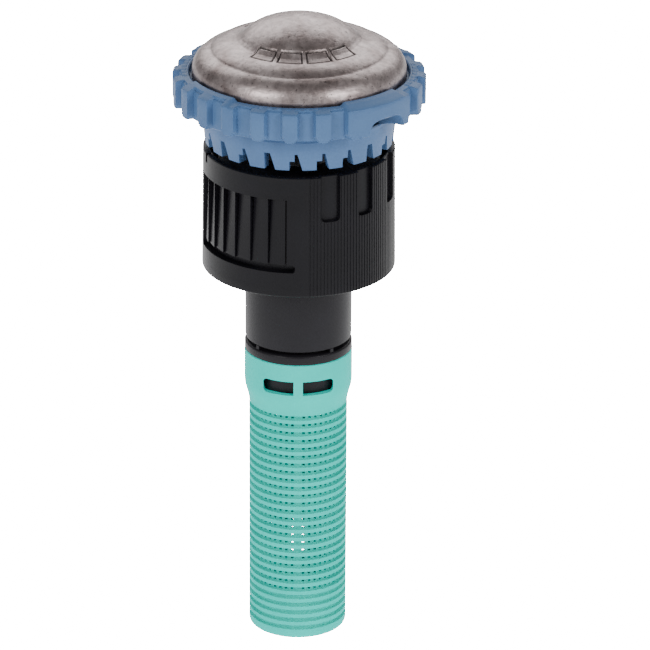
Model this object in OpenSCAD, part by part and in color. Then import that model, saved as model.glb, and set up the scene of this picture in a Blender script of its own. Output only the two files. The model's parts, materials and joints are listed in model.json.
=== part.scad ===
/* [Strainer] */
// Outer radius of the strainer tube
strainer_r = 5.75; // [5.4:0.05:5.9]
// Wall thickness of the strainer tube
strainer_wall = 0.75; // [0.7:0.01:0.8]
// Height of the strainer, from its closed foot to its rim
strainer_h = 35.4; // [35.3:0.1:35.5]
// Number of grooves round the strainer
groove_count = 28; // [10:1:28]
// Distance from one groove to the next
groove_pitch = 1; // [0.8:0.05:1]
// Depth of each groove
groove_depth = 0.3; // [0.1:0.05:0.4]

/* [Nozzle body] */
// Outer radius of the neck that enters the riser
neck_r = 6.2; // [6.1:0.05:6.25]
// Root radius of the female riser thread
thread_r = 7.94; // [7.8:0.02:8]
// Length of the female riser thread
thread_len = 8; // [6:0.5:8]
// Outer radius of the body inside the collar
body_r = 9.3; // [9.2:0.05:9.35]

/* [Radius collar] */
// Radius of the collar's foot
collar_r = 11.2; // [11.1:0.05:11.3]
// Radius of the collar's rim
collar_rim_r = 11.05; // [11:0.05:11.1]
// Height of the collar's rim above the strainer's foot
rim_z = 60.4; // [60:0.1:60.4]
// Number of finger slots in the rim
slot_count = 3; // [1:1:5]
// Width of each finger slot
slot_w = 2.2; // [1:0.1:2.6]
// Number of flutes in the grip panel
flute_count = 6; // [3:1:6]

/* [Deflector] */
// Outer radius over the grip ribs
grip_r = 14.48; // [14.2:0.02:14.6]
// Number of grip ribs
grip_count = 24; // [12:1:30]
// Outer radius of the deflector's skirt
skirt_r = 11.1; // [11:0.05:11.2]
// Number of notches in the skirt's lower edge
notch_count = 22; // [12:1:24]
// Outer radius of the steel cap
cap_r = 12.26; // [12:0.02:12.4]
// Overall height, to the top of the cap
overall_h = 76; // [75.5:0.1:76.5]

/* [Shaft] */
// Radius of the shaft
shaft_r = 1.2; // [1:0.05:1.3]
// Radial running clearance on the shaft
shaft_gap = 0.06; // [0.02:0.01:0.1]
// Radius of the spring's coil, to the middle of the wire
spring_r = 2.2; // [2:0.05:2.4]
// Radius of the spring's wire
wire_r = 0.25; // [0.15:0.05:0.3]
// Number of turns in the spring
spring_turns = 7; // [4:1:8]

/* [Hidden] */
$fn = 96;
// Clearance that makes a cut run past the face it opens
cut = 0.5;

// Gap left between fixed pieces that are pressed together
fit_gap = 0.02;
strainer_in = strainer_r - strainer_wall;
strainer_floor = 1.2;
foot_round = 0.5;
strainer_collar_r = 6.29;
collar_taper_z = [28.9, 31.2];
groove_w = 0.45;
window_z = [31.6, 33.3];
window_angles = [5, 40];

spigot_z = 29.5;
spigot_gap = 0.1;
spigot_r = strainer_in - spigot_gap;
spigot_lead = 0.3;
spigot_step_z = 31.1;
socket_r = 5.6;
socket_z = 30.9;
inlet_r = 4;
passage_r = 4.6;
ring_r = 6.27;
ring_z = [strainer_h, 36.5];
post_z = 36.95;
post_r = 5.3;
post_w = 0.5;
post_angles = [-50, 39, 130, 219];
body_z = 45.9;
flange_r = 10.3;
flange_z = 46.7;
thread_z = body_z + 0.2;
web_t = 1.5;
gasket_h = 0.6;
gasket_gap = 0.05;
web_z = [thread_z + thread_len, thread_z + thread_len + web_t];
chamber_r = 8;
body_top = 58;
cover_plug_r = chamber_r - fit_gap;
seal_r = 0.42;
seal_centre_r = 9.08;
seal_levels = [49, 53];
seal_groove = [8.62, 1.2];
ear_window_z = [web_z[1], web_z[1] + 1];
ear_window_play = 2;

guide_z = [50, web_z[1]];
hub_r = 2.2;
spoke_w = 1;

plate_z = [web_z[1] + 0.05, web_z[1] + 0.85];
plate_r = chamber_r - 0.1;
plate_in = 1.6;
port_r = [2.5, 4.5];
port_angles = [30, 90];
ear_reach = 9.75;
ear_angle = 16;
ear_travel = 90;
collar_in = 9.55;
ear_notch_r = 9.9;

sleeve_flange_z = [web_z[1] + 0.95, web_z[1] + 1.5];
cover_z = [57.2, 59.2];
cover_gasket_h = 0.3;
sleeve_r = 3.92;
sleeve_top = 60.4;
sleeve_flange_r = sleeve_r + 1;
sleeve_seal_r = sleeve_r + 0.9;
tooth_count = 12;
tooth_h = 0.6;
tooth_w = 0.4;
tooth_r = [shaft_r + 1, sleeve_r - 0.1];
tooth_root = 0.1;
tooth_gap = 0.3;

panel_z = [49.8, 57.7];
panel_start = -80;
panel_pitch = 11.6;
flute_depth = 0.4;
slot_z = 55;
slot_depth = 0.5;
slot_start = 19.2;
slot_pitch = 25.7;
collar_ledge_z = 49.1;
collar_lip = 0.75;
collar_edge = 0.2;
collar_shoulder_z = 58;
collar_play = 0.1;
flute_tool_r = 1;
ledge_end = -2;
ledge_depth = 0.6;

tip_z = 61.5;
skirt_in = 9.6;
skirt_taper = 0.26;
hub_foot = 61.9;
hub_gap = 0.08;
grip_centre = -4;
grip_w = 1.85;
ring_flare = [[0, 64.9], [0.4, 65.5], [1.2, 65.8]];
ring_bevel = 0.2;
ring_lip_r = 12.6;
cap_seat_r = 12.5;
ring_top = 69.9;
notch_centre = -1.8;
notch_w = 1.2;
plate_under = 63.2;
plate_top = 65;
grip_z = [65.8, 69.4];
grip_valley_r = 13.9;
brake_bore_r = 9.4;
retainer_bore_r = 11;
step_z = [68, 68.8];
notch_h = 2;
cap_t = 0.5;
cap_outline = [[cap_r, 69.8], [12.1, 70.6], [11.6, 71.3], [11, 71.9], [10.2, 72.4], [9.2, 72.75],
               [7.7, 73.1], [6.9, 73.6], [6.2, 74.2], [5.3, 74.8], [4.1, 75.35], [2.6, 75.8],
               [1.2, 75.97]];

shaft_z = [38.5, 71.5];
seat_z = 40;
seat_r = 2.7;
clip_t = 0.4;
clip_r = 2.2;
clip_groove_r = shaft_r - 0.2;
brake_z = 66.1;
brake_t = 1;
brake_r = 7.8;
brake_play = 0.05;
friction_r = 8;
friction_in = 1.6;
seal_pocket_r = 2.6;
lip_seal_h = 1;
lower_clip_z = seat_z - 1;
brake_clip_z = brake_z + 1.1;

// A flat ring from z0 to z1, between two radii
module ring(r_out, r_in, z0, z1) {
    translate([0, 0, z0])
        difference() {
            cylinder(r = r_out, h = z1 - z0);
            translate([0, 0, -cut]) cylinder(r = r_in, h = z1 - z0 + 2 * cut);
        }
}

// A block on the front side, turned about the axis; angles count from the front
module block_at(angle, r0, r1, width, z0, z1) {
    rotate([0, 0, angle])
        translate([-width / 2, -r1, z0]) cube([width, r1 - r0, z1 - z0]);
}

// A sector of a ring between two angles from the front
module sector(r_in, r_out, a0, a1, z0, z1) {
    translate([0, 0, z0])
        rotate([0, 0, a0 - 90])
            rotate_extrude(angle = a1 - a0)
                translate([r_in, 0]) square([r_out - r_in, z1 - z0]);
}

// A retaining clip: a flat ring with an open mouth
module c_clip(r_in, r_out, z0, angle) {
    difference() {
        ring(r_out, r_in, z0, z0 + clip_t);
        block_at(angle, 0, r_out + cut, 1.5 * r_in, z0 - cut, z0 + clip_t + cut);
    }
}

// Outline points of one groove in the strainer's wall
function groove_points(i) =
    let (z = (i + 1.5) * groove_pitch, half = groove_w / 2, r = strainer_r - groove_depth)
    [[strainer_r, z - half], [r, z - half], [r, z + half], [strainer_r, z + half]];

module strainer() {
    outer = [for (i = [0 : groove_count - 1]) for (p = groove_points(i)) p];
    color("turquoise")
        difference() {
            rotate_extrude()
                polygon(concat(
                    [[0, 0], [strainer_r - foot_round, 0],
                     [strainer_r - 0.3 * foot_round, 0.3 * foot_round],
                     [strainer_r, foot_round]],
                    outer,
                    [[strainer_r, collar_taper_z[0]], [strainer_collar_r, collar_taper_z[1]],
                     [strainer_collar_r, strainer_h], [socket_r, strainer_h],
                     [socket_r, socket_z], [strainer_in, socket_z],
                     [strainer_in, strainer_floor], [0, strainer_floor]]));
            for (turn = [0, 180], side = [-1, 1])
                sector(strainer_in - cut, strainer_collar_r + cut,
                       turn + min(side * window_angles[0], side * window_angles[1]),
                       turn + max(side * window_angles[0], side * window_angles[1]),
                       window_z[0], window_z[1]);
        }
}

// The fixed body: spigot, neck and threaded socket in one moulding
module nozzle_body() {
    color("dimgray")
        difference() {
            union() {
                rotate_extrude()
                    polygon(concat(
                        [[inlet_r, spigot_z], [spigot_r - spigot_lead, spigot_z],
                         [spigot_r, spigot_z + spigot_lead], [spigot_r, spigot_step_z],
                         [socket_r - spigot_gap, spigot_step_z],
                         [socket_r - spigot_gap, ring_z[0]],
                         [ring_r, ring_z[0]], [ring_r, ring_z[1]], [post_r, ring_z[1]],
                         [post_r, post_z], [neck_r, post_z], [neck_r, web_z[0]],
                         [thread_r, web_z[0]], [thread_r, thread_z], [flange_r, thread_z],
                         [flange_r, flange_z], [body_r, flange_z]],
                        [for (level = seal_levels)
                            for (p = [[body_r, level - seal_groove[1] / 2],
                                      [seal_groove[0], level - seal_groove[1] / 2],
                                      [seal_groove[0], level + seal_groove[1] / 2],
                                      [body_r, level + seal_groove[1] / 2]]) p],
                        [[body_r, body_top], [chamber_r, body_top], [chamber_r, web_z[1]],
                         [passage_r, web_z[1]], [passage_r, guide_z[0]],
                         [inlet_r, guide_z[0]]]));
                for (a = post_angles)
                    block_at(a, post_r - post_w / 2, neck_r - fit_gap, post_w, ring_z[1], post_z);
            }
            for (turn = [0, 180])
                sector(chamber_r - cut, body_r + cut, turn - ear_angle / 2 - ear_window_play,
                       turn + ear_angle / 2 + ear_travel + ear_window_play,
                       ear_window_z[0], ear_window_z[1]);
        }
}

module riser_gasket() {
    color("black") ring(thread_r - gasket_gap, neck_r + gasket_gap, web_z[0] - gasket_h, web_z[0]);
}

// A spoked hub that guides the shaft in the neck
module shaft_guide() {
    color("gray")
        difference() {
            union() {
                translate([0, 0, guide_z[0]]) cylinder(r = hub_r, h = guide_z[1] - guide_z[0]);
                intersection() {
                    for (a = [0, 120, 240])
                        block_at(a, 0, passage_r, spoke_w, guide_z[0], guide_z[1]);
                    cylinder(r = passage_r - fit_gap, h = guide_z[1] + cut);
                }
            }
            cylinder(r = shaft_r + shaft_gap, h = guide_z[1] + cut);
        }
}

// The coil spring, a round wire swept as overlapping short links
function coil_point(t, z0, z1) =
    [spring_r * cos(360 * spring_turns * t), spring_r * sin(360 * spring_turns * t),
     z0 + (z1 - z0) * t];

module return_spring() {
    z0 = seat_z + wire_r + fit_gap;
    z1 = guide_z[0] - wire_r - fit_gap;
    steps = spring_turns * 16;
    sides = 8;
    rings = [for (i = [0 : steps]) for (j = [0 : sides - 1])
        let (c = coil_point(i / steps, z0, z1), turn = 360 * spring_turns * i / steps,
             a = 360 * j / sides)
        c + wire_r * [cos(turn) * cos(a), sin(turn) * cos(a), sin(a)]];
    walls = [for (i = [0 : steps - 1]) for (j = [0 : sides - 1])
        let (k = (j + 1) % sides)
        [i * sides + j, (i + 1) * sides + j, (i + 1) * sides + k, i * sides + k]];
    first_end = [for (j = [0 : sides - 1]) j];
    last_end = [for (j = [sides - 1 : -1 : 0]) steps * sides + j];
    color("silver") polyhedron(rings, concat(walls, [first_end, last_end]), convexity = 10);
}

module collar_seal(level) {
    color("black")
        translate([0, 0, level])
            rotate_extrude() translate([seal_centre_r, 0]) circle(r = seal_r, $fn = 32);
}
module collar_seal_lower() { collar_seal(seal_levels[0]); }
module collar_seal_upper() { collar_seal(seal_levels[1]); }

// The arc valve's fixed seat
module nozzle_cover() {
    color("dimgray")
        rotate_extrude()
            polygon([[sleeve_r + shaft_gap, cover_z[0]], [cover_plug_r, cover_z[0]],
                     [cover_plug_r, body_top + cover_gasket_h],
                     [body_r, body_top + cover_gasket_h], [body_r, cover_z[1]],
                     [sleeve_r + shaft_gap, cover_z[1]]]);
}

module cover_gasket() {
    color("black") ring(body_r - 2 * gasket_gap, chamber_r, body_top, body_top + cover_gasket_h);
}

// One finger slot, open at the collar's rim
module finger_slot(angle) {
    rotate([0, 0, angle])
        translate([0, -collar_r - cut, 0]) {
            translate([-slot_w / 2, 0, slot_z + slot_w / 4])
                cube([slot_w, slot_depth + cut, rim_z - slot_z]);
            translate([-slot_w / 4, 0, slot_z]) cube([slot_w / 2, slot_depth + cut, slot_w / 2]);
        }
}

// The grip collar that sets the throw
module radius_collar() {
    color("darkslategray")
        difference() {
            rotate_extrude()
                polygon([[flange_r + collar_play, body_z], [collar_r - collar_edge, body_z],
                         [collar_r, body_z + collar_edge],
                         [collar_rim_r, rim_z - collar_edge / 2],
                         [collar_rim_r - collar_edge / 2, rim_z],
                         [collar_rim_r - collar_lip, rim_z],
                         [collar_rim_r - collar_lip, cover_z[1] + collar_play],
                         [collar_in, collar_shoulder_z], [collar_in, flange_z + collar_play],
                         [flange_r + collar_play, flange_z + collar_play]]);
            for (i = [0 : slot_count - 1]) finger_slot(slot_start + i * slot_pitch);
            for (i = [0 : flute_count - 1])
                rotate([0, 0, panel_start + (i + 0.5) * panel_pitch])
                    translate([0, flute_depth - flute_tool_r - collar_r, panel_z[0]])
                        cylinder(r = flute_tool_r, h = panel_z[1] - panel_z[0]);
            sector(collar_r - ledge_depth, collar_r + cut, panel_start, ledge_end,
                   collar_ledge_z, panel_z[0]);
            for (turn = [0, 180])
                sector(collar_in - cut, ear_notch_r, turn - ear_angle / 2 - cut,
                       turn + ear_angle / 2 + cut, plate_z[0] - collar_play,
                       plate_z[1] + collar_play);
        }
}

// A ported plate, keyed to the collar, that throttles the flow
module throttle_plate() {
    color("gray")
        difference() {
            union() {
                ring(plate_r, plate_in, plate_z[0], plate_z[1]);
                for (turn = [0, 180])
                    sector(plate_r - cut, ear_reach, turn - ear_angle / 2,
                           turn + ear_angle / 2, plate_z[0], plate_z[1]);
            }
            for (turn = [0, 120, 240])
                sector(port_r[0], port_r[1], turn + port_angles[0], turn + port_angles[1],
                       plate_z[0] - cut, plate_z[1] + cut);
        }
}

// The arc valve's turning sleeve, with clutch teeth on top
module valve_sleeve() {
    color("gray")
        difference() {
            union() {
                translate([0, 0, sleeve_flange_z[0]])
                    cylinder(r = sleeve_r, h = sleeve_top - sleeve_flange_z[0]);
                translate([0, 0, sleeve_flange_z[0]])
                    cylinder(r = sleeve_flange_r, h = sleeve_flange_z[1] - sleeve_flange_z[0]);
                for (i = [0 : tooth_count - 1])
                    block_at(i * 360 / tooth_count, tooth_r[0], tooth_r[1], tooth_w,
                             sleeve_top - tooth_root, sleeve_top + tooth_h);
            }
            translate([0, 0, sleeve_flange_z[0] - cut])
                cylinder(r = shaft_r + shaft_gap, h = sleeve_top + tooth_h);
        }
}

module sleeve_seal() {
    color("black") ring(sleeve_seal_r, sleeve_r, sleeve_flange_z[1], cover_z[0] - fit_gap);
}

module shaft() {
    color("silver")
        difference() {
            translate([0, 0, shaft_z[0]]) cylinder(r = shaft_r, h = shaft_z[1] - shaft_z[0]);
            for (z = [lower_clip_z, brake_clip_z])
                ring(shaft_r + cut, clip_groove_r, z, z + clip_t);
        }
}

module spring_seat() {
    color("silver") ring(seat_r, shaft_r, lower_clip_z + clip_t, seat_z);
}
module lower_clip() { color("silver") c_clip(clip_groove_r, clip_r, lower_clip_z, 180); }

// The brake's rotor, fixed on the shaft
module brake_disk() {
    color("silver") ring(brake_r, shaft_r, brake_z, brake_z + brake_t);
}
module brake_clip() { color("silver") c_clip(clip_groove_r, clip_r, brake_clip_z, 0); }

// The blue spinning head: skirt, water channels and grip ring
module deflector() {
    color("steelblue")
        difference() {
            union() {
                rotate_extrude()
                    polygon(concat(
                        [[skirt_in, tip_z], [skirt_r - skirt_taper, tip_z],
                         [skirt_r, plate_under]],
                        [for (p = ring_flare) [skirt_r + p[0], p[1]]],
                        [[grip_valley_r, grip_z[0] + ring_bevel],
                         [grip_valley_r, grip_z[1] - ring_bevel],
                         [grip_valley_r - ring_bevel, grip_z[1]], [ring_lip_r, ring_top],
                         [cap_seat_r, step_z[1]], [retainer_bore_r, step_z[1]],
                         [retainer_bore_r, step_z[0]], [brake_bore_r, step_z[0]],
                         [brake_bore_r, plate_top], [seal_pocket_r, plate_top],
                         [seal_pocket_r, plate_top - lip_seal_h],
                         [shaft_r + hub_gap, plate_top - lip_seal_h],
                         [shaft_r + hub_gap, hub_foot], [sleeve_r, hub_foot],
                         [sleeve_r, plate_under], [skirt_in, plate_under]]));
                for (i = [0 : grip_count - 1])
                    block_at(grip_centre + i * 360 / grip_count, grip_valley_r - cut, grip_r,
                             grip_w, grip_z[0] + ring_bevel, grip_z[1]);
                for (i = [0 : tooth_count - 1])
                    block_at((i + 0.5) * 360 / tooth_count, tooth_r[0], tooth_r[1], tooth_w,
                             sleeve_top + tooth_h + tooth_gap, hub_foot + tooth_root);
            }
            for (i = [0 : notch_count - 1])
                block_at(notch_centre + i * 360 / notch_count, skirt_in - cut, skirt_r + cut,
                         notch_w, tip_z - cut, tip_z + notch_h);
        }
}

module lip_seal() {
    color("black") 
        ring(seal_pocket_r, shaft_r + shaft_gap, plate_top - lip_seal_h, plate_top);
}
module friction_disk() {
    color("black") ring(friction_r, friction_in, plate_top, brake_z - brake_play);
}
module friction_pad() {
    color("black") ring(friction_r, seal_pocket_r, brake_z + brake_t + brake_play, step_z[0]);
}
module brake_retainer() {
    color("gray") ring(retainer_bore_r - brake_play, seal_pocket_r, step_z[0], step_z[1]);
}

// The pressed steel cap: a thin shell whose inside runs under its outside
module cap() {
    shell = concat(cap_outline, [[0, overall_h]]);
    last = len(shell) - 1;
    inside = [for (i = [last : -1 : 1])
        [i < last ? shell[i][0] - cap_t * (last - i) / last : 0, shell[i][1] - cap_t]];
    color("rosybrown")
        rotate_extrude()
            polygon(concat([[cap_r, step_z[1]]], shell, inside, [[cap_r - cap_t, step_z[1]]]));
}

strainer();
nozzle_body();
riser_gasket();
shaft_guide();
return_spring();
collar_seal_lower();
collar_seal_upper();
nozzle_cover();
cover_gasket();
radius_collar();
throttle_plate();
valve_sleeve();
sleeve_seal();
shaft();
spring_seat();
lower_clip();
brake_disk();
brake_clip();
deflector();
lip_seal();
friction_disk();
friction_pad();
brake_retainer();
cap();
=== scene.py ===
"""Rotary sprinkler nozzle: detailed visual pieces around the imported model, in metres."""
import json
import math

import bmesh
import bpy
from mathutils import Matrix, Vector


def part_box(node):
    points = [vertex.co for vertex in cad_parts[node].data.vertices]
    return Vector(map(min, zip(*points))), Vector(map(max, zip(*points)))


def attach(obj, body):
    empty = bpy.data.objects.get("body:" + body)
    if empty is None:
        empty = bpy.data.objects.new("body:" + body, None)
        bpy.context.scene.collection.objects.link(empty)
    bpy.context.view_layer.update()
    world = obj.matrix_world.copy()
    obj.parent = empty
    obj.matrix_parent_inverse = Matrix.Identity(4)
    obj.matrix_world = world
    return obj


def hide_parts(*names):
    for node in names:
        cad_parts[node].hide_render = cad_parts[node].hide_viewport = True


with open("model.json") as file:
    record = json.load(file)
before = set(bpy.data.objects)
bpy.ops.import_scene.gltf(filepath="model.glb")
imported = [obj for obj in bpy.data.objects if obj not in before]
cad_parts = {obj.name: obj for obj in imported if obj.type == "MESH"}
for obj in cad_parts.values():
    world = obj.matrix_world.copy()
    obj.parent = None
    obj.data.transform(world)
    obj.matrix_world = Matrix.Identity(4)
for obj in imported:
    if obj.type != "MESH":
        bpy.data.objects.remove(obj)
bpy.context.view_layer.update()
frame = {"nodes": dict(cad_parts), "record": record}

MM = 0.001


def span(node):
    """Lowest and highest z of a CAD node, and its outer radius, in millimetres."""
    low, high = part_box(node)
    return low[2] / MM, high[2] / MM, high[0] / MM


_, STRAINER_TOP, STRAINER_COLLAR_R = span("strainer")
SPIGOT_Z, BODY_TOP, _ = span("nozzle_body")
COLLAR_FOOT, RIM_Z, COLLAR_R = span("radius_collar")
TIP_Z, DEFLECTOR_TOP, GRIP_R = span("deflector")
CAP_FOOT, _, _ = span("cap")

# ---------------------------------------------------------------- mesh helpers


def smoothstep(low, high, value):
    t = min(1.0, max(0.0, (value - low) / (high - low)))
    return t * t * (3 - 2 * t)


def mix(a, b, t):
    return a + (b - a) * t


def polar(theta, r, z):
    """A point from its angle off the front (degrees, + to the right), radius and height in mm."""
    a = math.radians(theta)
    return (r * math.sin(a) * MM, -r * math.cos(a) * MM, z * MM)


def arc(centre, radius, start, end, steps):
    """Points of a circular arc in the (r, z) plane, angles in degrees."""
    angles = [math.radians(mix(start, end, i / steps)) for i in range(steps + 1)]
    return [(centre[0] + radius * math.cos(a), centre[1] + radius * math.sin(a)) for a in angles]


def lathe(thetas, profile):
    """A closed skin whose (r, z) outline, a loop, may change with the angle."""
    outlines = [profile(t) for t in thetas]
    count = len(outlines[0])
    verts = [polar(t, r, z) for t, line in zip(thetas, outlines) for r, z in line]
    faces = []
    for i in range(len(thetas)):
        a = i * count
        b = ((i + 1) % len(thetas)) * count
        for j in range(count):
            k = (j + 1) % count
            faces.append((a + j, b + j, b + k, a + k))
    return verts, faces


def cells(thetas, layers, rows, solid, place):
    """The outer faces of a ring-shaped block of cells; solid(i, j, k) says which are there."""
    n = len(thetas)
    index = {}
    verts, faces = [], []

    def vert(i, j, k):
        key = (i % n, j, k)
        if key not in index:
            index[key] = len(verts)
            verts.append(polar(*place(i % n, j, k)))
        return index[key]

    def filled(i, j, k):
        return 0 <= j < layers and 0 <= k < rows and solid(i % n, j, k)

    for i in range(n):
        for j in range(layers):
            for k in range(rows):
                if not filled(i, j, k):
                    continue
                a, b, c, d = i, i + 1, j + 1, k + 1
                sides = (
                    ((i, j - 1, k), (a, j, k), (b, j, k), (b, j, d), (a, j, d)),
                    ((i, j + 1, k), (a, c, k), (b, c, k), (b, c, d), (a, c, d)),
                    ((i, j, k - 1), (a, j, k), (b, j, k), (b, c, k), (a, c, k)),
                    ((i, j, k + 1), (a, j, d), (b, j, d), (b, c, d), (a, c, d)),
                    ((i - 1, j, k), (a, j, k), (a, c, k), (a, c, d), (a, j, d)),
                    ((i + 1, j, k), (b, j, k), (b, c, k), (b, c, d), (b, j, d)),
                )
                for neighbour, *corners in sides:
                    if not filled(*neighbour):
                        faces.append([vert(*corner) for corner in corners])
    return verts, faces


def build(name, shells, body, material, stands_for, smooth_angle=35):
    """One object from (verts, faces) shells, which rides on a body."""
    verts, faces = [], []
    for shell_verts, shell_faces in shells:
        base = len(verts)
        verts += shell_verts
        faces += [[base + v for v in f] for f in shell_faces]
    mesh = bpy.data.meshes.new(name)
    mesh.from_pydata(verts, [], faces)
    bm = bmesh.new()
    bm.from_mesh(mesh)
    bmesh.ops.remove_doubles(bm, verts=bm.verts, dist=1e-7)
    bmesh.ops.dissolve_degenerate(bm, edges=bm.edges, dist=1e-8)
    bmesh.ops.recalc_face_normals(bm, faces=bm.faces)
    bm.to_mesh(mesh)
    bm.free()
    mesh.shade_smooth()
    mesh.set_sharp_from_angle(angle=math.radians(smooth_angle))
    obj = bpy.data.objects.new(name, mesh)
    bpy.context.scene.collection.objects.link(obj)
    obj.data.materials.append(material)
    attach(obj, body)
    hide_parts(*stands_for)
    return obj


def paint_shade(obj, amount):
    """Write the attribute of painted shade, 0 to 1, from amount(theta, r, z); materials darken
    their colour by it.
    """
    painted_shade = obj.data.attributes.new("painted_shade", "FLOAT", "POINT")
    for vertex, value in zip(obj.data.vertices, painted_shade.data):
        x, y, z = vertex.co
        value.value = amount(math.degrees(math.atan2(x, -y)), math.hypot(x, y) / MM, z / MM)


# ---------------------------------------------------------------- materials


class Nodes:
    """A material's node tree, with short calls for the nodes that these surfaces share."""

    def __init__(self, name):
        self.material = bpy.data.materials.new(name)
        self.material.use_nodes = True
        self.tree = self.material.node_tree
        self.shader = self.tree.nodes["Principled BSDF"]
        self.coords = self.tree.nodes.new("ShaderNodeTexCoord")

    def put(self, socket, value):
        self.shader.inputs[socket].default_value = value

    def link(self, source, target):
        self.tree.links.new(source, target)

    def noise(self, scale, detail=4.0, stretch=(1, 1, 1), distortion=0.0):
        mapping = self.tree.nodes.new("ShaderNodeMapping")
        mapping.inputs["Scale"].default_value = stretch
        self.link(self.coords.outputs["Object"], mapping.inputs["Vector"])
        node = self.tree.nodes.new("ShaderNodeTexNoise")
        node.inputs["Scale"].default_value = scale
        node.inputs["Detail"].default_value = detail
        node.inputs["Distortion"].default_value = distortion
        self.link(mapping.outputs["Vector"], node.inputs["Vector"])
        return node.outputs["Fac"]

    def attribute(self, name):
        node = self.tree.nodes.new("ShaderNodeAttribute")
        node.attribute_name = name
        return node.outputs["Fac"]

    def ramp(self, source, stops):
        node = self.tree.nodes.new("ShaderNodeValToRGB")
        while len(node.color_ramp.elements) < len(stops):
            node.color_ramp.elements.new(0.5)
        for element, (place, colour) in zip(node.color_ramp.elements, stops):
            element.position = place
            element.color = (*colour, 1)
        self.link(source, node.inputs["Fac"])
        return node.outputs["Color"]

    def blend(self, kind, amount, a, b):
        node = self.tree.nodes.new("ShaderNodeMix")
        node.data_type = "RGBA"
        node.blend_type = kind
        node.inputs["Factor"].default_value = amount
        colour_inputs = [i for i in node.inputs if i.type == "RGBA"]
        self.link(a, colour_inputs[0])
        self.link(b, colour_inputs[1])
        return next(o for o in node.outputs if o.type == "RGBA")

    def range(self, source, low, high):
        node = self.tree.nodes.new("ShaderNodeMapRange")
        node.inputs["To Min"].default_value = low
        node.inputs["To Max"].default_value = high
        self.link(source, node.inputs["Value"])
        return node.outputs["Result"]

    def seen_directly(self, lighting, seen):
        """One value for the light that a surface gives, another for what the camera sees."""
        path = self.tree.nodes.new("ShaderNodeLightPath")
        return self.range(path.outputs["Is Camera Ray"], lighting, seen)

    def bump(self, source, height, strength=1.0, below=None):
        node = self.tree.nodes.new("ShaderNodeBump")
        node.inputs["Distance"].default_value = height * MM
        node.inputs["Strength"].default_value = strength
        self.link(source, node.inputs["Height"])
        if below:
            self.link(below, node.inputs["Normal"])
        return node.outputs["Normal"]


def grey(value):
    return (value, value, value)


def plastic(name, colour, lighter, rough, grain=0.012, gloss=0.5):
    """Moulded plastic: faint mottling, a fine grain and uneven gloss."""
    m = Nodes(name)
    cloud = m.noise(180, 5)
    fine = m.noise(5200, 3)
    # Painted shade: the attribute darkens the base colour, down to 0.2, in recesses where shadow
    # falls.
    painted_shade = m.ramp(m.attribute("painted_shade"), [(0.0, grey(1.0)), (1.0, grey(0.2))])
    tone = m.ramp(cloud, [(0.3, colour), (0.75, lighter)])
    m.link(m.blend("MULTIPLY", 1.0, tone, painted_shade), m.shader.inputs["Base Color"])
    m.link(m.range(cloud, rough[0], rough[1]), m.shader.inputs["Roughness"])
    m.link(m.bump(fine, grain, 0.6, m.bump(cloud, grain * 2.5, 0.5)), m.shader.inputs["Normal"])
    m.put("IOR", 1.5)
    m.put("Specular IOR Level", gloss)
    return m.material


def worn_steel():
    """Tumbled stainless: warm blotches, dark pits, a broad uneven shine and painted shade in the
    dents.
    """
    m = Nodes("tumbled_steel")
    blotch = m.noise(260, 7, distortion=0.8)
    speck = m.noise(1500, 6)
    pits = m.noise(2900, 2)
    warm = m.ramp(blotch, [(0.3, (0.27, 0.215, 0.208)), (0.5, (0.42, 0.355, 0.348)),
                           (0.7, (0.58, 0.505, 0.497))])
    dust = m.ramp(speck, [(0.32, grey(0.66)), (0.62, grey(1.0))])
    dots = m.ramp(pits, [(0.27, grey(0.3)), (0.36, grey(1.0))])
    tinted = m.blend("MULTIPLY", 0.85, warm, dust)
    spotted = m.blend("MULTIPLY", 0.85, tinted, dots)
    # Painted shade: the attribute darkens the base colour, down to 0.22, in the pressed panels'
    # border grooves.
    painted_shade = m.ramp(m.attribute("painted_shade"), [(0.0, grey(1.0)), (1.0, grey(0.22))])
    m.link(m.blend("MULTIPLY", 1.0, spotted, painted_shade), m.shader.inputs["Base Color"])
    m.link(m.range(blotch, 0.32, 0.5), m.shader.inputs["Roughness"])
    fine = m.bump(speck, 0.05, 0.7)
    m.link(m.bump(pits, 0.04, 0.5, fine), m.shader.inputs["Normal"])
    m.put("Metallic", 1.0)
    return m.material


def turned_steel():
    """Bright machined wire and bar, with faint rings round the axis."""
    m = Nodes("turned_steel")
    rings = m.noise(900, 3, stretch=(0.05, 0.05, 1.0))
    m.link(m.ramp(rings, [(0.3, grey(0.42)), (0.7, grey(0.66))]), m.shader.inputs["Base Color"])
    m.link(m.range(rings, 0.2, 0.36), m.shader.inputs["Roughness"])
    m.link(m.bump(rings, 0.01, 0.4), m.shader.inputs["Normal"])
    m.put("Metallic", 1.0)
    return m.material


def rubber():
    m = Nodes("seal_rubber")
    dust = m.noise(1500, 4)
    m.link(m.ramp(dust, [(0.3, grey(0.012)), (0.8, grey(0.035))]), m.shader.inputs["Base Color"])
    m.link(m.range(dust, 0.55, 0.8), m.shader.inputs["Roughness"])
    m.link(m.bump(dust, 0.02, 0.5), m.shader.inputs["Normal"])
    return m.material


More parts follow.
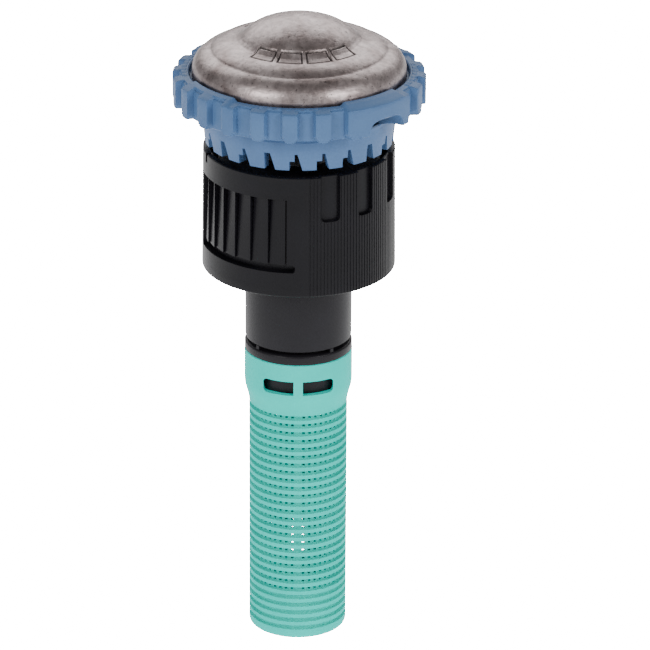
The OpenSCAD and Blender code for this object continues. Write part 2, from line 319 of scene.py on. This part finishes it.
BLACK = plastic("black_plastic", (0.0038, 0.0034, 0.0050), (0.0066, 0.0060, 0.0086),
                (0.3, 0.42), gloss=0.14)
NECK_BLACK = plastic("neck_plastic", (0.009, 0.0083, 0.0108), (0.013, 0.0120, 0.0155),
                     (0.36, 0.46), gloss=0.16)
GREY = plastic("grey_plastic", (0.10, 0.10, 0.105), (0.15, 0.15, 0.155), (0.4, 0.55))
BLUE = plastic("blue_plastic", (0.058, 0.125, 0.265), (0.074, 0.150, 0.305),
               (0.4, 0.52), gloss=0.25)
TEAL = plastic("teal_plastic", (0.0, 0.60, 0.52), (0.0, 0.68, 0.59),
               (0.36, 0.46), gloss=0.03)
STEEL = worn_steel()
BRIGHT = turned_steel()
RUBBER = rubber()

SLOT_MATERIALS = {
    "teal_plastic": TEAL, "black_plastic": BLACK, "grey_plastic": GREY, "blue_plastic": BLUE,
    "rubber": RUBBER, "stainless": BRIGHT, "cap_steel": STEEL,
}

# ---------------------------------------------------------------- strainer

TUBE_R = 5.75
TUBE_IN = 5.0
GROOVE_FLOOR = 5.32
GROOVES = 28
HOLE_ROWS_FROM = 5
HALF_GROOVE = 0.27
HALF_HOLE = 0.19
SLOTS_PER_QUADRANT = 11
SLOT_PITCH = 7.6
SLOT_WIDTH = 3.4
WINDOW = (31.6, 33.3)
WINDOW_TURN = (5.0, 40.0)
WINDOW_CORNER_TURN = 5.0
WINDOW_UNDERCUT = 5.5
WINDOW_UNDERCUT_FADE = 22
SCREEN_TOP = 28.95
FOOT_THICKNESS = 1.0
FIRST_GROOVE_Z = 1.5
SOCKET_R = 5.6
SOCKET_Z = 30.9


def strainer_columns():
    """Column edges round the tube, and whether each column is an inner slot."""
    edges, slots = [], []
    first = 45 - SLOT_PITCH * (SLOTS_PER_QUADRANT - 1) / 2 - SLOT_WIDTH / 2
    for quadrant in range(4):
        start = 90 * quadrant
        edges += [start, start + first * 0.5]
        slots += [False, False]
        for i in range(SLOTS_PER_QUADRANT):
            edges += [start + first + i * SLOT_PITCH, start + first + i * SLOT_PITCH + SLOT_WIDTH]
            slots += [True, False]
    return edges, slots


def tube_radius(z):
    """Outer radius of the strainer: rounded foot, tube, taper and collar."""
    if z < 0.5:
        return TUBE_R - 0.5 + math.sqrt(max(0.0, 0.25 - (0.5 - z) ** 2))
    return mix(TUBE_R, STRAINER_COLLAR_R, smoothstep(28.7, 31.5, z))


def screen_shell():
    """The grooved screen, with a row of small holes through the floor of each upper groove."""
    thetas, slots = strainer_columns()
    levels = [0.0, 0.03, 0.12, 0.25, 0.5, FOOT_THICKNESS]
    groove_rows, hole_rows = set(), set()
    for i in range(GROOVES):
        centre = FIRST_GROOVE_Z + i
        foot = len(levels)
        groove_rows |= {foot, foot + 1, foot + 2}
        if i >= HOLE_ROWS_FROM:
            hole_rows.add(foot + 1)
        levels += [centre - HALF_GROOVE, centre - HALF_HOLE, centre + HALF_HOLE,
                   centre + HALF_GROOVE]
    levels.append(SCREEN_TOP)
    radii = [0.0, TUBE_IN, GROOVE_FLOOR, None]

    def solid(i, layer, row):
        if layer == 0:
            return levels[row] < FOOT_THICKNESS
        if layer == 1:
            return not (slots[i] and row in hole_rows)
        return row not in groove_rows

    def place(i, layer, row):
        r = tube_radius(levels[row]) if layer == 3 else radii[layer]
        if layer < 3 and levels[row] < 0.5:
            r = min(r, tube_radius(levels[row]) - 0.02)
        return thetas[i], r, levels[row]

    return cells(thetas, 3, len(levels) - 1, solid, place)


def collar_shell():
    """The plain upper collar of the strainer, with its pairs of rounded windows."""
    low, high = WINDOW_TURN
    marks = [0.0, low * 0.6, low]
    marks += [mix(low, high - WINDOW_CORNER_TURN, i / 7) for i in range(1, 8)]
    marks += [high - 4.0, high - 3.0, high - 2.0, high - 1.0, high - 0.4, high]
    marks += [mix(high, 90, i / 9) for i in range(1, 9)]
    half = marks + [90.0] + [180 - m for m in reversed(marks)]
    thetas = half[:-1] + [180 + m for m in half[:-1]]
    levels = [SCREEN_TOP, 29.3, 29.7, 30.1, 30.5, SOCKET_Z, 31.25, WINDOW[0], 32.0, 32.9, WINDOW[1],
              33.8, 34.6, 35.1, 35.3, STRAINER_TOP]
    window_rows = (7, 8, 9)
    window_levels = (7, 8, 9, 10)

    def off_front(theta):
        turn = theta % 180
        return min(turn, 180 - turn)

    def solid(i, layer, row):
        a = off_front((thetas[i] + (thetas[i + 1] if i + 1 < len(thetas) else 360)) / 2)
        return not (row in window_rows and low < a < high)

    def place(i, layer, row):
        z = levels[row]
        a = off_front(thetas[i])
        corner = high - WINDOW_CORNER_TURN
        if corner < a <= high + 0.01 and row in window_levels:
            reach = (a - corner) / WINDOW_CORNER_TURN
            lift = 0.5 * (1 - math.sqrt(max(0.0, 1 - reach * reach)))
            lift *= 1.0 if row in (7, 10) else 0.55
            z += lift if row <= 8 else -lift
        r = tube_radius(z)
        turn = 0.0
        if layer == 0:
            r = SOCKET_R if z > SOCKET_Z + 0.1 else TUBE_IN
            if row in window_levels:
                fade = 1 - smoothstep(high, high + WINDOW_UNDERCUT_FADE, a)
                turn = WINDOW_UNDERCUT * smoothstep(low, high, a) * fade
                turn *= 1 if thetas[i] % 180 < 90 else -1
        if layer == 1 and row == len(levels) - 1:
            r -= 0.12
        return thetas[i] + turn, r, z

    return cells(thetas, 1, len(levels) - 1, solid, place)


def make_strainer():
    build("strainer_screen", [screen_shell(), collar_shell()], "strainer", TEAL,
          ["strainer"], smooth_angle=32)


# ---------------------------------------------------------------- nozzle body

NECK_R = 6.2
RING_R = 6.27
RING_Z = (STRAINER_TOP, 36.5)
POST_Z = 36.95
POST_R = 5.3
POSTS = (-50, 39, 130, 219)
POST_HALF_TURN = 2.4
POST_EDGE = 0.35
THREAD_R = 7.94
THREAD_Z = (46.1, 54.1)
THREAD_PITCH = 25.4 / 28
THREAD_DEPTH = 0.49
THREAD_HALF_WIDTH = 0.3
THREAD_STEPS = 72
SKIRT_R = 9.3
FLANGE = (10.3, 46.7)
CHAMBER = (8.0, 55.6)
SPIGOT_R = 4.9
INLET_R = 4.0


def body_profile(theta):
    """Outline of the fixed body; the groove fills in at the posts."""
    gap = min(abs((theta - p + 180) % 360 - 180) for p in POSTS)
    post = 1 - smoothstep(POST_HALF_TURN - POST_EDGE, POST_HALF_TURN, gap)
    floor = mix(POST_R, NECK_R - 0.03, post)
    points = [(INLET_R, SPIGOT_Z), (SPIGOT_R - 0.3, SPIGOT_Z), (SPIGOT_R, SPIGOT_Z + 0.3)]
    points += [(SPIGOT_R, SOCKET_Z + 0.2), (SOCKET_R - 0.1, SOCKET_Z + 0.2)]
    points += [(SOCKET_R - 0.1, RING_Z[0]), (RING_R - 0.1, RING_Z[0])]
    points += arc((RING_R - 0.1, RING_Z[0] + 0.1), 0.1, -90, 0, 3)[1:]
    points += arc((RING_R - 0.28, RING_Z[1] - 0.28), 0.28, 0, 90, 6)
    points += [(mix(POST_R + 0.3, RING_R - 0.3, post), RING_Z[1]), (floor, RING_Z[1] + 0.02)]
    points += [(floor, POST_Z), (NECK_R - 0.14, POST_Z + 0.02), (NECK_R - 0.02, POST_Z + 0.09)]
    points += [(NECK_R, POST_Z + 0.25), (NECK_R, 42.0), (NECK_R, THREAD_Z[1])]
    points += [(THREAD_R, THREAD_Z[1]), (THREAD_R, THREAD_Z[0] + 0.3)]
    points += [(THREAD_R + 0.3, THREAD_Z[0]), (FLANGE[0], THREAD_Z[0]), (FLANGE[0], FLANGE[1])]
    points += [(SKIRT_R, FLANGE[1]), (SKIRT_R, BODY_TOP), (CHAMBER[0], BODY_TOP)]
    points += [(CHAMBER[0], CHAMBER[1]), (4.6, CHAMBER[1]), (4.6, 50.0), (INLET_R, 50.0)]
    return points


def thread_shell():
    """The female riser thread: a V ridge that winds up inside the socket."""
    turns = int((THREAD_Z[1] - THREAD_Z[0] - 1.2) / THREAD_PITCH)
    steps = THREAD_STEPS * turns
    root = THREAD_R + 0.05
    verts, faces = [], []
    for i in range(steps + 1):
        fade = min(1.0, i / 24, (steps - i) / 24)
        z = THREAD_Z[0] + 0.5 + THREAD_PITCH * i / THREAD_STEPS
        crest = THREAD_R - THREAD_DEPTH * fade + 0.02
        for r, dz in ((root, -THREAD_HALF_WIDTH), (crest, 0), (root, THREAD_HALF_WIDTH)):
            verts.append(polar(5 * i, r, z + dz))
    for i in range(steps):
        for j in range(3):
            k = (j + 1) % 3
            faces.append((3 * i + j, 3 * i + k, 3 * i + 3 + k, 3 * i + 3 + j))
    faces += [(0, 1, 2), (3 * steps + 2, 3 * steps + 1, 3 * steps)]
    return verts, faces


def make_body():
    thetas = [2.5 * i for i in range(144)]
    for p in POSTS:
        thetas += [(p + s * e) % 360 for s in (-1, 1)
                   for e in (POST_HALF_TURN, POST_HALF_TURN - POST_EDGE)]
    thetas = sorted(set(round(t, 3) for t in thetas))
    shells = [lathe(thetas, body_profile), thread_shell()]
    build("nozzle_body_moulding", shells, "body", NECK_BLACK, ["nozzle_body"])


# ---------------------------------------------------------------- radius collar

COLLAR_RIM_R = 11.05
COLLAR_IN = 9.55
RIB_PITCH = 2.1
RIB_ZONE = (5.0, 276.0)
RIB_DEPTH = 0.055
PANEL_TURN = (-80.0, -7.0)
PANEL_Z = (49.8, 57.7)
PANEL_EDGES = (-69.4, -60.6, -51.0, -41.0, -29.8, -18.4)
LEDGE_Z = 48.95
LEDGE_END = -2.2
LEDGE_DEPTH = 0.85
PANEL_STRIP = 0.9
SLOT_CENTRES = (19.2, 43.4, 70.8)
SLOT_HALF = 1.1
SLOT_FOOT = 55.0
SLOT_DEPTH = 0.5
SLOT_CORNER = 0.55
INDEX_TURN = -73
INDEX_HALF = 1.6
INDEX_DEPTH = 0.6
INDEX_FOOT = RIM_Z - 1.0


def rib_groove(theta):
    """How far into a groove between two fine ribs this angle is, 0 to 1."""
    turn = theta % 360
    if not RIB_ZONE[0] <= turn <= RIB_ZONE[1]:
        return 0.0
    phase = ((turn - RIB_ZONE[0]) / RIB_PITCH) % 1.0
    return 1.0 if 0.62 <= phase <= 0.9 else 0.0


def flute(theta, z):
    """Depth of the grip panel: saw-tooth facets, each deepest at its left and towards the top."""
    turn = (theta + 180) % 360 - 180
    if not (PANEL_TURN[0] < turn < PANEL_TURN[1] and PANEL_Z[0] < z < PANEL_Z[1]):
        return 0.0
    edges = (PANEL_TURN[0],) + PANEL_EDGES + (PANEL_TURN[1] - PANEL_STRIP,)
    if turn >= edges[-1]:
        return 0.55
    left, right = next((a, b) for a, b in zip(edges, edges[1:]) if a <= turn < b)
    up = (z - PANEL_Z[0]) / (PANEL_Z[1] - PANEL_Z[0])
    start = mix(0.3, 0.66, up)
    crease = 0.12 if turn - left < 0.5 else 0.0
    return mix(start, 0.06, (turn - left) / (right - left)) + crease


def slot_cut(theta, z):
    """Depth of the finger slots: open at the rim, with rounded feet."""
    if z < SLOT_FOOT:
        return 0.0
    for centre in SLOT_CENTRES:
        x = abs(math.radians((theta - centre + 180) % 360 - 180)) * COLLAR_RIM_R
        limit = SLOT_HALF
        if z < SLOT_FOOT + SLOT_CORNER:
            drop = SLOT_FOOT + SLOT_CORNER - z
            limit = SLOT_HALF - SLOT_CORNER + math.sqrt(max(0.0, SLOT_CORNER ** 2 - drop * drop))
        if x < limit:
            return SLOT_DEPTH
    return 0.0


def ledge_cut(theta, z):
    """Depth of the dark slot under the grip panel, with a round right-hand end."""
    turn = (theta + 180) % 360 - 180
    if not (LEDGE_Z < z < PANEL_Z[0] and PANEL_TURN[0] < turn < LEDGE_END):
        return 0.0
    half = (PANEL_Z[0] - LEDGE_Z) / 2
    x = math.radians(LEDGE_END - turn) * COLLAR_R
    if x < half:
        rise = abs(z - LEDGE_Z - half)
        if rise > math.sqrt(max(0.0, half * half - (half - x) ** 2)):
            return 0.0
    return LEDGE_DEPTH


def rim_notch(theta, z):
    """The small index notch in the rim."""
    turn = (theta + 180) % 360 - 180
    return INDEX_DEPTH if abs(turn - INDEX_TURN) < INDEX_HALF and z > INDEX_FOOT else 0.0


def collar_profile_radius(theta, z):
    base = mix(COLLAR_R, COLLAR_RIM_R, (z - COLLAR_FOOT) / (RIM_Z - COLLAR_FOOT))
    if z < COLLAR_FOOT + 0.25:
        drop = COLLAR_FOOT + 0.25 - z
        base -= 0.25 - math.sqrt(max(0.0, 0.0625 - drop * drop))
    cut = max(flute(theta, z), slot_cut(theta, z), ledge_cut(theta, z), rim_notch(theta, z))
    if not cut:
        cut = RIB_DEPTH * rib_groove(theta)
    return base - cut


def close_pairs(places, gap):
    return [p + s * gap for p in places for s in (-1, 1)]


def collar_thetas():
    """Columns that are close together wherever the surface steps."""
    thetas = []
    ribs = int((RIB_ZONE[1] - RIB_ZONE[0]) / RIB_PITCH)
    for i in range(ribs):
        start = RIB_ZONE[0] + i * RIB_PITCH
        thetas += [start + RIB_PITCH * f for f in (0.1, 0.58, 0.63, 0.89, 0.94)]
    thetas += [PANEL_TURN[0] - 4 + 0.55 * i for i in range(162)]
    for centre in SLOT_CENTRES:
        half = math.degrees(SLOT_HALF / COLLAR_RIM_R)
        soft = math.degrees(SLOT_CORNER / COLLAR_RIM_R)
        thetas += close_pairs([centre - half, centre + half], 0.06)
        thetas += [centre + s * (half - soft * f) for s in (-1, 1) for f in (0.15, 0.4, 0.7, 1.0)]
    thetas += close_pairs([PANEL_TURN[0], PANEL_TURN[1], LEDGE_END, INDEX_TURN - INDEX_HALF,
                           INDEX_TURN + INDEX_HALF], 0.05)
    thetas += close_pairs(PANEL_EDGES + (PANEL_TURN[1] - PANEL_STRIP,), 0.05)
    thetas += [e + 0.6 for e in PANEL_EDGES]
    return sorted(set(round(t % 360, 2) for t in thetas))


def collar_levels():
    foot = [COLLAR_FOOT + 0.25 * f for f in (0.0, 0.1, 0.3, 0.6, 1.0)]
    levels = foot + [47.0, 48.0, 48.7]
    levels += close_pairs([LEDGE_Z], 0.04)
    levels += [mix(LEDGE_Z, PANEL_Z[0], f) for f in (0.15, 0.3, 0.5, 0.7, 0.85)]
    levels += close_pairs([PANEL_Z[0]], 0.04)
    levels += [50.5, 51.5, 52.5, 53.5, 54.4]
    levels += [SLOT_FOOT - 0.04, SLOT_FOOT + 0.02, SLOT_FOOT + 0.1, SLOT_FOOT + 0.22,
               SLOT_FOOT + 0.38, SLOT_FOOT + 0.56]
    levels += [56.2, 56.9] + close_pairs([PANEL_Z[1]], 0.04)
    levels += [58.4] + close_pairs([INDEX_FOOT], 0.04) + [60.0, RIM_Z - 0.08]
    return levels


def make_collar():
    levels = collar_levels()

    def profile(theta):
        outer = [(collar_profile_radius(theta, z), z) for z in levels]
        lip = outer[-1][0]
        top = [(max(lip - 0.1, COLLAR_RIM_R - 0.72), RIM_Z), (COLLAR_RIM_R - 0.75, RIM_Z)]
        inner = [(COLLAR_RIM_R - 0.75, 59.3), (COLLAR_IN, 58.0), (COLLAR_IN, FLANGE[1] + 0.1)]
        foot = [(FLANGE[0] + 0.1, FLANGE[1] + 0.1), (FLANGE[0] + 0.1, COLLAR_FOOT)]
        return outer + top + inner + foot

    build("radius_collar_shell", [lathe(collar_thetas(), profile)], "collar",
          BLACK, ["radius_collar"], smooth_angle=28)


# ---------------------------------------------------------------- deflector

DEFLECTOR_R = 11.1
TIP_R = 10.84
DEFLECTOR_IN = 9.6
RING_FOOT = 65.0
GRIP_Z = (65.8, 69.4)
VALLEY_R = 13.72
RIBS = 24
RIB_CENTRE = -4.0
RIB_HALF = 3.7
NOTCHES = 22
NOTCH_START = -5.8
NOTCH_TOP = 2.0
NOTCH_STEP = 1.1
FLAT_TURN = (-33.0, 21.0)
PRY_TURN = (33.0, 54.5)
PRY_HEIGHT = 1.7
BAND_TURN = 4.5
TICK_PITCH = 4.5
TICK_HEIGHT = 0.1
STEPPED = (0, 1, 2, 4, 6, 8, 9, 11, 13, 14, 16, 18, 20)


def skirt_shell():
    """The skirt: a wall whose lower edge is cut into slanting notches, some with a step."""
    pitch = 360 / NOTCHES
    thetas, kinds, slants = [], [], []
    for i in range(NOTCHES):
        start = NOTCH_START + i * pitch
        ledge = 3.2 if i in STEPPED else 1.3
        marks = [(0.0, "step", 0.0), (ledge, "open", 0.0), (7.9, "wall", 3.0), (10.2, "wall", 1.1),
                 (12.4, "wall", 0.3), (14.5, "wall", 0.0)]
        for turn, kind, slant in marks:
            thetas.append(start + turn)
            kinds.append(kind + ("_cut" if i in STEPPED and kind == "step" else ""))
            slants.append(slant)
    levels = [TIP_Z, TIP_Z + NOTCH_STEP, TIP_Z + NOTCH_TOP, TIP_Z + 2.5, RING_FOOT]

    def solid(i, layer, row):
        if kinds[i] == "open":
            return row > 1
        if kinds[i] == "step_cut":
            return row > 0
        return True

    def place(i, layer, row):
        z = levels[row]
        rise = min(1.0, (z - TIP_Z) / NOTCH_TOP)
        theta = thetas[i] - slants[i] * rise
        outer = mix(TIP_R, DEFLECTOR_R, smoothstep(TIP_Z, TIP_Z + 2.5, z))
        return theta, (DEFLECTOR_IN, outer)[layer], z

    return cells(thetas, 1, len(levels) - 1, solid, place)


def channel_shell():
    """The plate under the skirt that throws the water, ribbed into curved channels."""
    def profile(theta):
        wave = 0.5 + 0.5 * math.cos(math.radians((theta + 1.8) * NOTCHES))
        dip = 62.1 + 1.0 * wave
        return [(1.4, 63.4), (3.9, 63.0), (6.0, dip + 0.6), (DEFLECTOR_IN + 0.1, dip),
                (DEFLECTOR_IN + 0.1, 64.9), (1.4, 64.9)]

    return lathe([2.0 * i for i in range(180)], profile)


def rib_weight(theta, up):
    """1 on a grip rib, 0 between; its lower corners are rounded, up to 0.9 mm above its foot."""
    pitch = 360 / RIBS
    gap = abs((theta - RIB_CENTRE + pitch / 2) % pitch - pitch / 2)
    drop = max(0.0, 1 - up / 0.9)
    half = RIB_HALF - 2.2 * (1 - math.sqrt(1 - drop * drop))
    return 1 - smoothstep(half - 0.35, half + 0.35, gap)


def flat_weight(theta):
    """1 over the low plateaus, 0 over the raised arcs, a quarter turn apart."""
    low, high = FLAT_TURN
    turn = (theta - (low + high) / 2 + 45) % 90 - 45
    return 1 - smoothstep((high - low) / 2, (high - low) / 2 + 2.2, abs(turn))


def pry_arch(theta):
    """Height of the pry notches in the ring's lower wall, two of them."""
    low, high = PRY_TURN
    half = (high - low) / 2
    turn = abs((theta - (low + high) / 2 + 90) % 180 - 90)
    if turn >= half:
        return 0.0
    return PRY_HEIGHT * math.sqrt(1 - (turn / half) ** 4)


def tick_mark(theta):
    """Plain raised ticks along the middle of each low plateau."""
    low, high = FLAT_TURN
    turn = (theta - (low + high) / 2 + 45) % 90 - 45
    return 1.0 if abs(turn) < 17 and turn % TICK_PITCH < TICK_PITCH / 2 else 0.0


def ledge_weight(theta):
    """1 along the short ledge under the front ribs, and the one opposite."""
    turn = (theta + 4.0 + 90) % 180 - 90
    return 1 - smoothstep(15.0, 16.5, abs(turn))


def ring_profile(theta):
    arch = pry_arch(theta)
    notch = min(1.0, arch / 0.6)
    nearby = pry_arch(theta) + pry_arch(theta - BAND_TURN) + pry_arch(theta + BAND_TURN)
    band = smoothstep(0.0, 0.3, nearby)
    foot = GRIP_Z[0] + arch
    low = 1 - flat_weight(theta)
    rim = mix(GRIP_Z[1] - 0.1, GRIP_Z[1], low)
    crown = mix(GRIP_Z[1] + 0.1, DEFLECTOR_TOP, low)
    ledge = ledge_weight(theta) * (1 - notch)
    tick = TICK_HEIGHT * tick_mark(theta)

    def wall(up):
        return mix(VALLEY_R, GRIP_R, max(rib_weight(theta, up), band))

    top = wall(2.0)
    points = [(DEFLECTOR_R - 0.4, RING_FOOT - 0.3), (DEFLECTOR_R, RING_FOOT - 0.25)]
    points += [(DEFLECTOR_R + 0.02 + 0.3 * ledge, RING_FOOT)]
    points += [(mix(mix(DEFLECTOR_R + 0.35, 12.3, ledge), 11.15, notch), mix(65.35, 65.1, ledge))]
    points += [(mix(12.2, 10.3, notch), mix(65.6, 65.5, max(ledge, notch)))]
    points += [(mix(13.0, 10.4, notch), foot - 0.04)]
    points += [(wall(0.0) - 0.3, foot), (wall(0.02) - 0.1, foot + 0.05), (wall(0.08), foot + 0.15)]
    points += [(wall(up), foot + up * 0.9 + 0.1) for up in (0.18, 0.32, 0.5, 0.7, 0.9)]
    points += [(top, mix(foot + 0.95, rim - 0.3, t)) for t in (0.33, 0.67, 1.0)]
    points += [(top - 0.05, rim - 0.12), (top - 0.22, rim)]
    points += [(mix(top - 0.3, 13.6, 0.5), mix(rim, crown, 0.3)), (13.45, mix(rim, crown, 0.7))]
    points += [(13.4, mix(rim, crown, 0.75) + tick), (12.95, crown - 0.03 + tick)]
    points += [(12.9, crown - 0.02), (12.75, crown), (12.62, crown - 0.1)]
    points += [(12.52, 68.8), (11.0, 68.8), (11.0, 68.0), (9.4, 68.0), (9.4, RING_FOOT)]
    return points


def pry_painted_shade(theta, r, z):
    """Painted shade in the pry notches: 1 on the cavity walls, where shadow falls, 0 elsewhere."""
    return 1.0 if pry_arch(theta) > 0.5 and 10.0 < r < 12.6 and 65.3 < z < 68 else 0.0


def make_deflector():
    thetas = [0.75 * i for i in range(480)]
    shells = [skirt_shell(), lathe(thetas, ring_profile), channel_shell()]
    head = build("deflector_head", shells, "head", BLUE, ["deflector"],
                 smooth_angle=33)
    # Painted shade darkens the pry notches' cavity walls.
    paint_shade(head, pry_painted_shade)


# ---------------------------------------------------------------- steel cap

CAP_OUTLINE = (
    (12.26, 69.4), (12.26, 69.9), (12.12, 70.45), (11.85, 70.95), (11.45, 71.42), (10.95, 71.78),
    (10.5, 71.98), (10.15, 72.08), (9.9, 72.3), (9.5, 72.56), (8.9, 72.82), (8.2, 72.98),
    (7.6, 73.1), (7.1, 73.3), (6.7, 73.6), (6.3, 73.98), (5.8, 74.4), (5.2, 74.78),
    (4.4, 75.15), (3.4, 75.5), (2.4, 75.76), (1.3, 75.93), (0.5, 75.99), (0.0, 76.0),
)
PANEL_R = (6.3, 7.95)
PANEL_PITCH = 25.7
PANELS_EACH_WAY = 2
PANEL_GAP_TURN = 4.6
PANEL_GAP = 1.5
PANEL_FRAME = 0.2


def cap_height(r):
    """Height of the cap's outside at a radius, through its outline's points."""
    for (r1, z1), (r0, z0) in zip(CAP_OUTLINE, CAP_OUTLINE[1:]):
        if r0 <= r <= r1 and r1 > r0:
            return mix(z0, z1, (r - r0) / (r1 - r0))
    return CAP_OUTLINE[-1][1]


def panel_place(theta, r):
    """How far inside one of the pressed panels, four in front and four behind, in mm."""
    turn = abs((theta - PANEL_GAP_TURN + 90) % 180 - 90)
    if turn > PANELS_EACH_WAY * PANEL_PITCH:
        return -1.0
    turn = min(turn % PANEL_PITCH, PANEL_PITCH - turn % PANEL_PITCH)
    return min(r - PANEL_R[0], PANEL_R[1] - r, math.radians(turn - PANEL_GAP) * r)


def panel_frame(theta, r):
    """1 in the grooved border of a panel, 0 elsewhere."""
    inside = panel_place(theta, r)
    past = smoothstep(PANEL_FRAME - 0.05, PANEL_FRAME + 0.05, inside)
    return smoothstep(-0.02, 0.06, inside) * (1 - past)


def panel_dent(theta, r):
    """Depth of the shallow rectangular panels pressed round the dome's foot."""
    return 0.04 * smoothstep(0.0, 0.1, panel_place(theta, r)) + 0.12 * panel_frame(theta, r)


def make_cap():
    thetas = [1.25 * i for i in range(288)]
    for i in range(-PANELS_EACH_WAY, PANELS_EACH_WAY + 1):
        gap = PANEL_GAP_TURN + i * PANEL_PITCH
        thetas += [gap + s * (PANEL_GAP + e) for s in (-1, 1)
                   for e in (-0.15, 0.5, 1.0, 1.5, 2.1)]
        thetas += [t + 180 for t in thetas[-10:]]
    thetas = sorted(set(round(t % 360, 2) for t in thetas))
    radii = [0.0, 0.5, 1.0, 1.7, 2.4, 3.1, 3.8, 4.5, 5.1, 5.6, 6.0]
    radii += [PANEL_R[0] + 0.075 * i for i in range(-1, 24)]
    radii += [8.3, 8.7, 9.1, 9.5, 9.75, 9.9, 10.02, 10.15, 10.3, 10.6, 11.0, 11.3, 11.6, 11.85,
              12.0, 12.12, 12.2, 12.24]

    def profile(theta):
        outer = [(r, cap_height(r) - panel_dent(theta, r)) for r in radii]
        edge = [(12.26, 69.9), (12.26, CAP_FOOT + 0.1), (12.2, CAP_FOOT), (11.8, CAP_FOOT)]
        under = [(11.76, 69.8), (11.4, 70.8), (10.0, 71.8), (7.4, 72.6), (5.5, 74.0), (3.0, 75.1)]
        return outer + edge + under + [(0.0, 75.5)]

    cap = build("steel_cap", [lathe(thetas, profile)], "head", STEEL, ["cap"],
                smooth_angle=60)
    # Painted shade darkens the panel borders' grooves, on top of the real shading of their dent.
    paint_shade(cap, lambda theta, r, z: panel_frame(theta, r))


# ---------------------------------------------------------------- CAD parts and stage


def dress_cad_nodes():
    """Each carried-over CAD part gets its slot's finished material."""
    slots = {s["node"]: s["material_slot"] for s in frame["record"]["subparts"]}
    for name, obj in frame["nodes"].items():
        obj.data.materials.clear()
        obj.data.materials.append(SLOT_MATERIALS[slots[name]])


def soft_light(name, place, target, size, power):
    light = bpy.data.lights.new(name, "AREA")
    light.shape = "RECTANGLE"
    light.size, light.size_y = size
    light.energy = power
    obj = bpy.data.objects.new(name, light)
    bpy.context.scene.collection.objects.link(obj)
    obj.location = place
    obj.rotation_euler = (Vector(target) - Vector(place)).to_track_quat("-Z", "Y").to_euler()


WORLD_STRENGTH = 0.22
FLOOR_Z = -0.045
FLOOR_GLOW = 1.1
FLOOR_WHITE = 30.0
FLOOR_HALF = 3.0


def make_stage():
    mesh = bpy.data.meshes.new("floor")
    corners = [(x * FLOOR_HALF, y * FLOOR_HALF, FLOOR_Z)
               for x, y in ((-1, -1), (1, -1), (1, 1), (-1, 1))]
    mesh.from_pydata(corners, [], [(0, 1, 2, 3)])
    floor = bpy.data.objects.new("floor", mesh)
    bpy.context.scene.collection.objects.link(floor)
    paper = Nodes("pale_paper")
    fibre = paper.noise(40, 4)
    paper.link(paper.ramp(fibre, [(0.3, grey(0.86)), (0.7, grey(0.9))]),
               paper.shader.inputs["Base Color"])
    paper.put("Roughness", 0.9)
    paper.put("Emission Color", (1, 1, 1, 1))
    paper.link(paper.seen_directly(FLOOR_GLOW, FLOOR_WHITE),
               paper.shader.inputs["Emission Strength"])
    mesh.materials.append(paper.material)

    world = bpy.data.worlds.new("studio")
    world.use_nodes = True
    background = world.node_tree.nodes["Background"]
    background.inputs["Color"].default_value = (1, 1, 1, 1)
    background.inputs["Strength"].default_value = WORLD_STRENGTH
    bpy.context.scene.world = world

    middle = (0, 0, 0.05)
    soft_light("key_left", (-0.36, -0.40, 0.36), middle, (0.12, 0.22), 1.9)
    soft_light("key_right", (0.40, -0.38, 0.34), middle, (0.12, 0.22), 2.0)
    soft_light("back", (0, 0.50, 0.42), middle, (0.9, 0.45), 3.4)


CAMERA_DISTANCE = 0.5826
CAMERA_HEIGHT_ANGLE = 22.77
CAMERA_TARGET_Z = 0.0379
FOCAL = 277.0
SENSOR = 36.0
SHIFT = 0.0409
ROLL = 0.2


def make_camera():
    camera = bpy.data.cameras.new("camera")
    camera.sensor_width = SENSOR
    camera.lens = FOCAL
    camera.shift_x = SHIFT
    camera.clip_start = 0.01
    obj = bpy.data.objects.new("camera", camera)
    bpy.context.scene.collection.objects.link(obj)
    up = math.radians(CAMERA_HEIGHT_ANGLE)
    target = Vector((0, 0, CAMERA_TARGET_Z))
    obj.location = target + CAMERA_DISTANCE * Vector((0, -math.cos(up), math.sin(up)))
    look = (target - obj.location).to_track_quat("-Z", "Y").to_matrix().to_4x4()
    obj.rotation_euler = look.to_euler()
    obj.rotation_euler.rotate_axis("Z", math.radians(ROLL))
    bpy.context.scene.camera = obj


dress_cad_nodes()
make_strainer()
make_body()
make_collar()
make_deflector()
make_cap()
make_stage()
make_camera()
